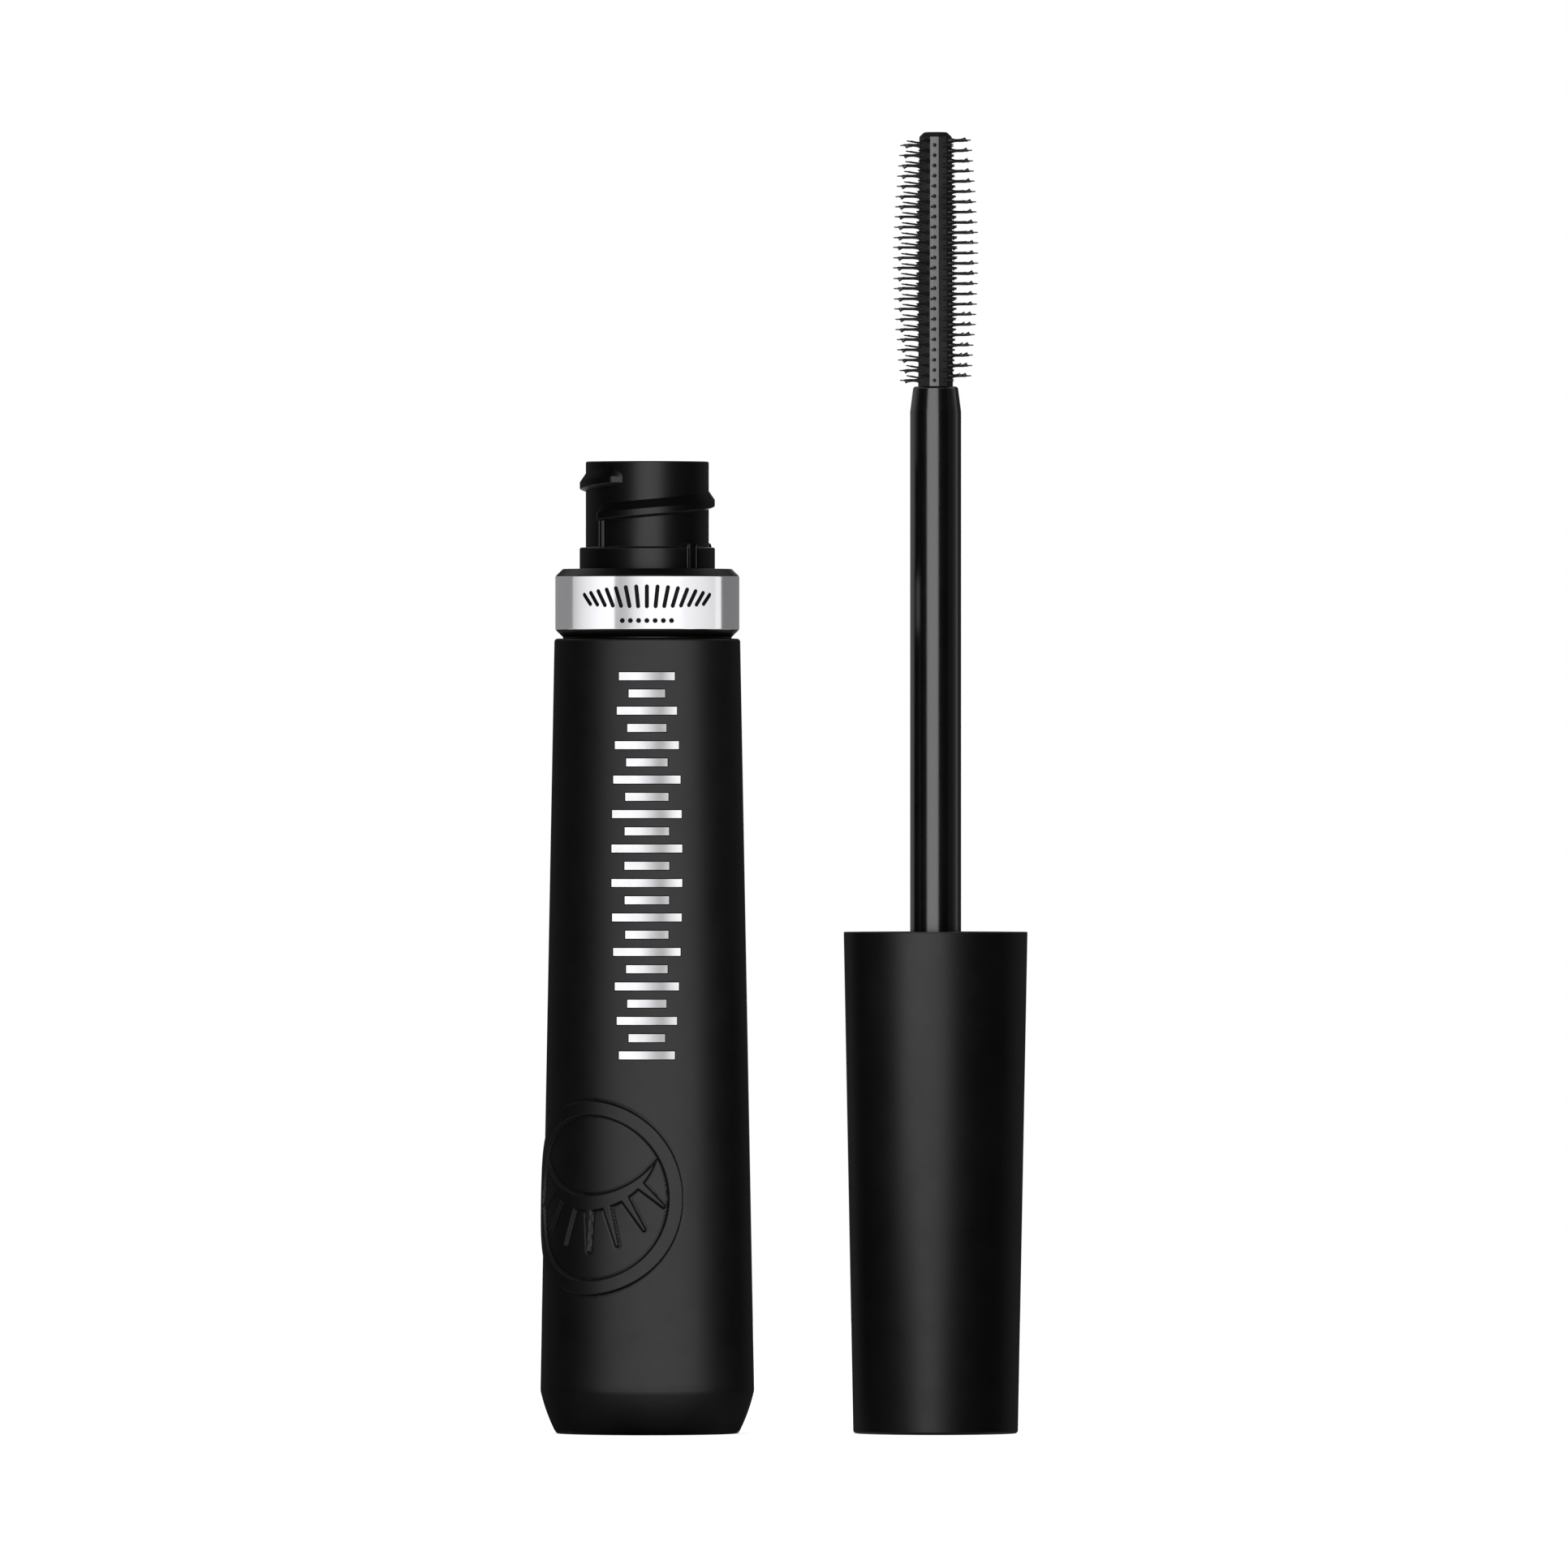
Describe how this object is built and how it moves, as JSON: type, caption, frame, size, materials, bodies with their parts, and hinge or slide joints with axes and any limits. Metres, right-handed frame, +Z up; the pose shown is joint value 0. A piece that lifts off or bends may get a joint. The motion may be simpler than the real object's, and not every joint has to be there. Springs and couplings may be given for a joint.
{
  "type": "mascara tube",
  "caption": "Open mascara tube with a threaded neck and wiper, and its screw-cap applicator with a moulded bristle brush standing beside it.",
  "frame": {"origin": "centre of the ring that the tube stands on, on the tube's axis", "axes": "+Z up the tube's axis towards its mouth, +X towards the applicator that stands beside it, front towards -Y"},
  "size_m": [0.05, 0.0221, 0.1336],
  "materials": {
    "satin_case": "satin",
    "satin_cap": "satin",
    "neck_plastic": "semi-gloss",
    "liner_plastic": "semi-gloss",
    "stem_plastic": "gloss",
    "brush_plastic": "satin",
    "band_metal": "polished",
    "soft_wiper": "satin",
    "seal_rubber": "matte",
    "paste": "wet gloss",
    "label": "satin"
  },
  "bodies": {
    "tube": {"outer_case": "satin_case", "base_plug": "satin_case", "shade_label": "label", "bottle": "neck_plastic", "wiper": "soft_wiper", "formula": "paste", "collar_carrier": "neck_plastic", "collar_band": "band_metal", "collar_top_ring": "neck_plastic"},
    "seal": {"cap_seal": "seal_rubber"},
    "applicator": {"cap_shell": "satin_cap", "cap_liner": "liner_plastic", "stem": "stem_plastic", "brush": "brush_plastic"}
  },
  "joints": [
    {"name": "applicator_lift", "type": "slide", "parent": "tube", "child": "seal", "axis": [0, 0, 1], "range_m": [0, 0.093]},
    {"name": "applicator_twist", "type": "hinge", "parent": "seal", "child": "applicator", "pos_m": [0.0296, 0, 0], "axis": [0, 0, 1], "range_deg": [0, 385]}
  ]
}
